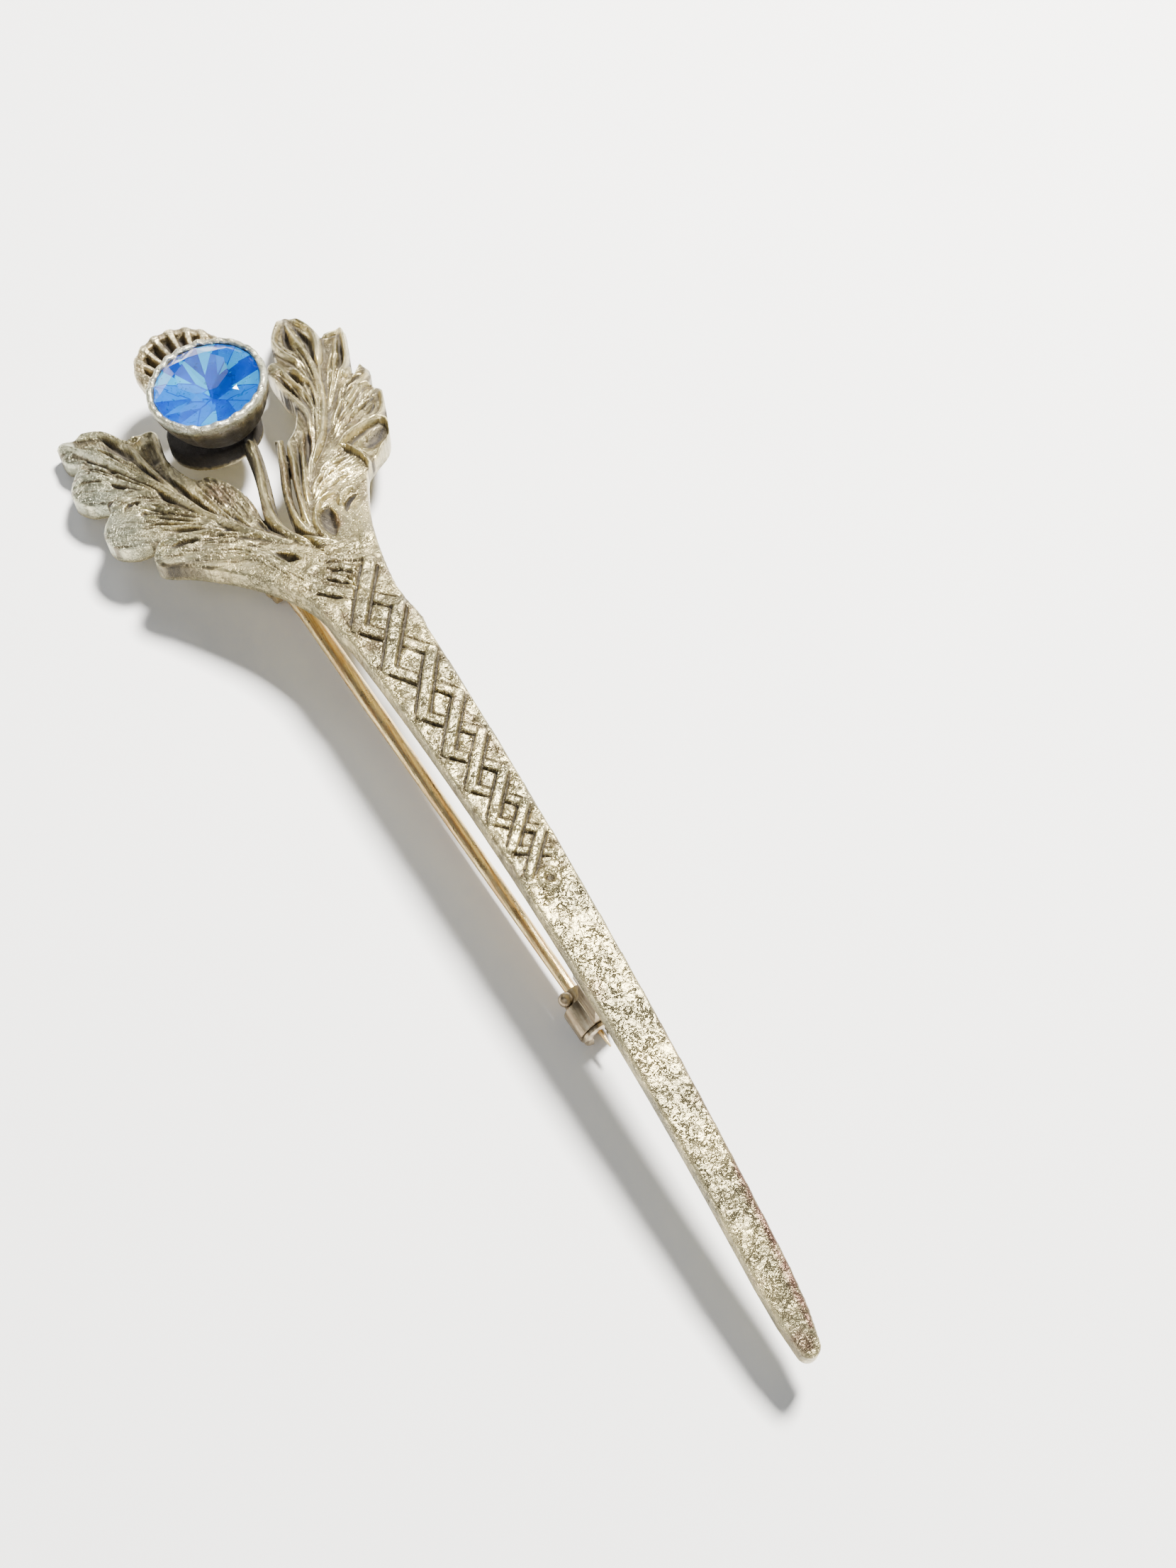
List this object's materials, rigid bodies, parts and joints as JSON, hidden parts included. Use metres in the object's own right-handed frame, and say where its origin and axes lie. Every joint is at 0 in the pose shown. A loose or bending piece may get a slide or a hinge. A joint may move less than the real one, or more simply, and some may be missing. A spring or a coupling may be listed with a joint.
{
  "type": "brooch pin",
  "caption": "Long thistle brooch: tapering fretted shaft, two lobed leaves, round blue stone in a cup, and a hinged pin stem with roll-over catch on the back.",
  "frame": {"origin": "middle of the bounding box's base: the plane that the leaf tips rest on when the brooch lies on its back", "axes": "+Y along the shaft from its tip to the leaves, +Z out of the front face, +X to the right leaf"},
  "size_m": [0.0206, 0.0724, 0.0088],
  "materials": {
    "antiqued_pewter": "cast white metal, antiqued dark in its recesses and rubbed bright on its ridges",
    "rubbed_pewter": "cast white metal with a burnished lip",
    "solder": "dull soft solder",
    "blue_glass": "faceted blue glass, foiled behind",
    "foil": "bright foil",
    "cement": "set jeweller's cement",
    "brass_fitting": "dulled brass",
    "brass_wire": "drawn brass wire, lightly tarnished",
    "catch_metal": "plated brass, worn"
  },
  "bodies": {
    "brooch": {"leaf_and_shaft_casting": "antiqued_pewter", "thistle_cup": "rubbed_pewter", "cup_solder": "solder", "thistle_tuft": "antiqued_pewter", "blue_stone": "blue_glass", "stone_foil": "foil", "stone_cement": "cement", "hinge_bracket": "brass_fitting", "hinge_solder": "solder", "hinge_rivet": "brass_fitting", "catch_housing": "catch_metal", "catch_solder": "solder"},
    "stem": {"pin_stem": "brass_wire"},
    "roller": {"catch_roller": "catch_metal"}
  },
  "joints": [
    {"name": "stem_swing", "type": "hinge", "parent": "brooch", "child": "stem", "pos_m": [-0.0015, 0.01675, 0.00125], "axis": [0.9978, 0.0663, 0], "range_deg": [0, 120]},
    {"name": "catch_roll", "type": "hinge", "parent": "brooch", "child": "roller", "pos_m": [0.00069, -0.01628, 0.00125], "axis": [-0.0663, 0.9978, 0], "range_deg": [0, 100]}
  ]
}
